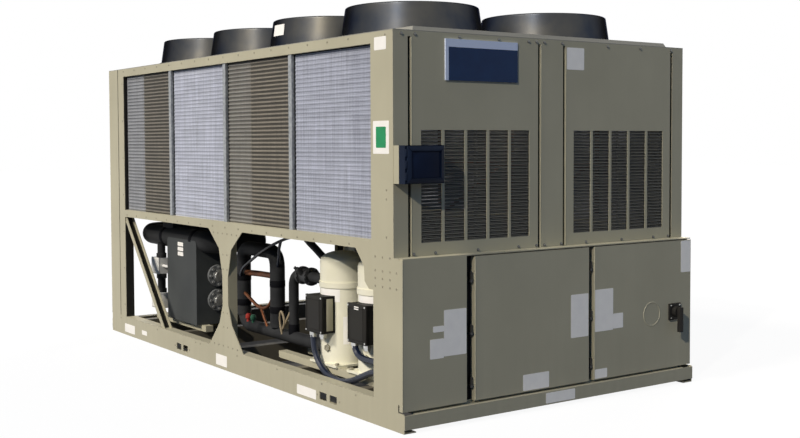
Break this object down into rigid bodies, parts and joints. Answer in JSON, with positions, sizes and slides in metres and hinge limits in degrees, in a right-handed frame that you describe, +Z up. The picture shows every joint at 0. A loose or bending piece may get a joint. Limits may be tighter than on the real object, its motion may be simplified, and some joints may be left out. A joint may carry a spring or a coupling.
{
  "type": "air cooled water chiller",
  "caption": "Packaged outdoor chiller on a steel base: finned coils over open machine bays, roof fans in round shrouds, and a control cabinet with hinged doors at one end.",
  "frame": {"origin": "middle of the bounding box, on the ground under the base rails", "axes": "+X towards the control cabinet end, -Y towards the long side with the evaporator bay, +Z up"},
  "size_m": [4.295, 2.3, 2.381],
  "materials": {
    "paint": "satin beige paint",
    "dark_paint": "satin paint in shade tone",
    "fin": "bare finned aluminium",
    "pale_metal": "plain sheet",
    "copper": "bare copper",
    "black_plastic": "gloss black",
    "black_matte": "matte black",
    "insulation": "black foam rubber",
    "grey_insulation": "grey foam rubber",
    "cream_paint": "satin cream paint",
    "fan_metal": "satin dark grey",
    "navy": "satin navy",
    "white_box": "matte white"
  },
  "bodies": {
    "machine": {"base_side_rails": "paint", "base_end_rails": "paint", "base_cross_members": "dark_paint", "machine_rails": "paint", "rear_posts": "paint", "middle_posts": "paint", "front_posts": "paint", "rear_braces": "paint", "mid_rails": "paint", "top_side_rails": "paint", "top_end_rails": "paint", "coils_left": "fin", "coils_right": "fin", "coil_dividers": "pale_metal", "coil_headers": "copper", "plenum_floor": "paint", "front_panels": "paint", "front_louvres": "dark_paint", "rear_panels": "paint", "rear_louvres": "dark_paint", "centre_posts": "paint", "name_plate": "navy", "fan_deck": "paint", "fan_shrouds_left": "black_plastic", "fan_shrouds_right": "black_plastic", "fan_rotors": "fan_metal", "fan_motors": "fan_metal", "fan_guards": "black_matte", "cabinet_back": "paint", "cabinet_roof": "paint", "cabinet_floor": "paint", "cabinet_uprights": "paint", "cabinet_cover": "paint", "door_hinges": "dark_paint", "display_box": "black_matte", "display_bracket": "paint", "evaporator": "grey_insulation", "water_pipe": "insulation", "water_caps": "pale_metal", "compressors": "cream_paint", "terminal_boxes": "black_matte", "power_conduits": "insulation", "suction_pipes": "insulation", "riser_pipes": "insulation", "discharge_pipes": "insulation", "junction_box": "white_box"},
    "middle_door": {"middle_door": "paint"},
    "right_door": {"right_door": "paint", "handle_plate": "black_matte"},
    "disconnect_handle": {"disconnect_handle": "black_plastic"}
  },
  "joints": [
    {"name": "middle_door_hinge", "type": "hinge", "parent": "machine", "child": "middle_door", "pos_m": [2.0695, -0.668, 0.5], "axis": [0, 0, -1], "range_deg": [0, 95]},
    {"name": "right_door_hinge", "type": "hinge", "parent": "machine", "child": "right_door", "pos_m": [2.0695, 0.261, 0.5], "axis": [0, 0, -1], "range_deg": [0, 95]},
    {"name": "handle_turn", "type": "hinge", "parent": "right_door", "child": "disconnect_handle", "pos_m": [2.0815, 0.992, 0.474], "axis": [-1, 0, 0], "range_deg": [0, 90]}
  ]
}
